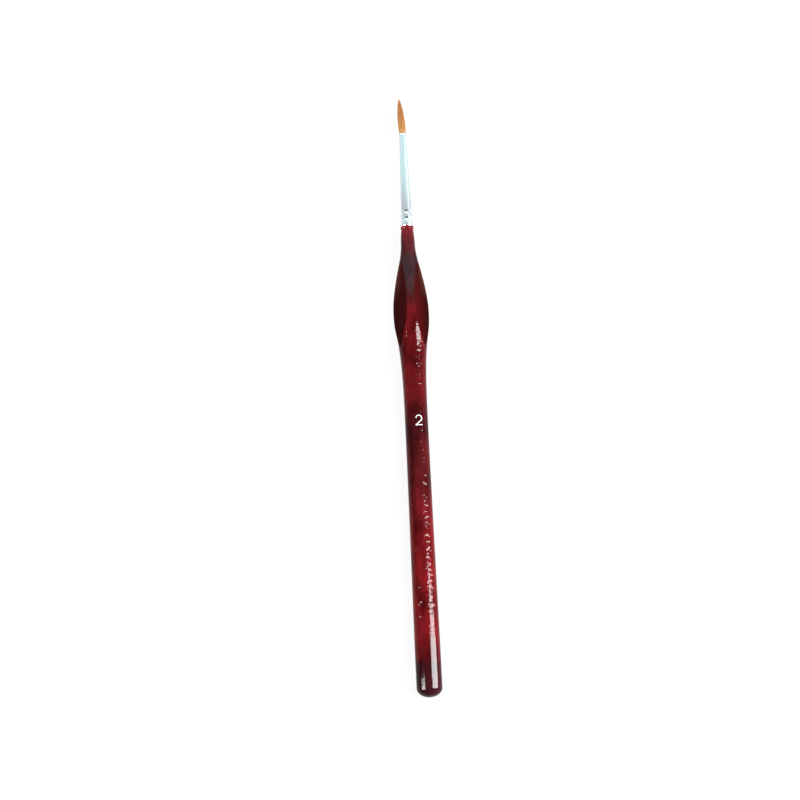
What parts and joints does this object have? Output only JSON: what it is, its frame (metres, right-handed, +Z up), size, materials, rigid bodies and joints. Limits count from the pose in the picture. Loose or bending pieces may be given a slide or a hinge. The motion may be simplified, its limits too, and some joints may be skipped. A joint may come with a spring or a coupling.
{
  "type": "fine detail brush",
  "caption": "Fine detail brush with a lacquered triangular-grip wooden handle, a crimped tapered ferrule and a pointed hair tuft that flexes.",
  "frame": {"origin": "on the surface that the brush lies on, under the middle of its length and width", "axes": "+Y along the brush from butt to hair tip, +Z up with a ridge of the grip on top and a flat facing down, +X to the right"},
  "size_m": [0.0108, 0.18, 0.01],
  "materials": {
    "lacquered_wood": "dark red stain under gloss lacquer",
    "bright_nickel": "bright nickel plate on seamless tube",
    "sable_hair": "orange-brown natural hair",
    "amber_glue": "clear amber epoxy",
    "waxed_thread": "waxed cotton"
  },
  "bodies": {
    "brush_body": {"handle": "lacquered_wood", "ferrule": "bright_nickel", "glue_plug": "amber_glue", "hair_root": "sable_hair", "binding_thread": "waxed_thread"},
    "heel": {"hair_heel": "sable_hair"},
    "belly": {"hair_belly": "sable_hair"},
    "shoulder": {"hair_shoulder": "sable_hair"},
    "point": {"hair_point": "sable_hair"}
  },
  "joints": [
    {"name": "heel_bend", "type": "hinge", "parent": "brush_body", "child": "heel", "pos_m": [0, 0.07915, 0.00463], "axis": [1, 0, 0], "range_deg": [-20, 20], "stiffness_Nm_per_rad": 0.0006},
    {"name": "belly_sway", "type": "hinge", "parent": "heel", "child": "belly", "pos_m": [0, 0.08186, 0.00464], "axis": [0, -0.005, 1], "range_deg": [-20, 20], "stiffness_Nm_per_rad": 0.0005},
    {"name": "shoulder_bend", "type": "hinge", "parent": "belly", "child": "shoulder", "pos_m": [0, 0.08457, 0.00466], "axis": [1, 0, 0], "range_deg": [-20, 20], "stiffness_Nm_per_rad": 0.0003},
    {"name": "point_sway", "type": "hinge", "parent": "shoulder", "child": "point", "pos_m": [0, 0.08729, 0.00467], "axis": [0, -0.005, 1], "range_deg": [-20, 20], "stiffness_Nm_per_rad": 0.0002}
  ]
}
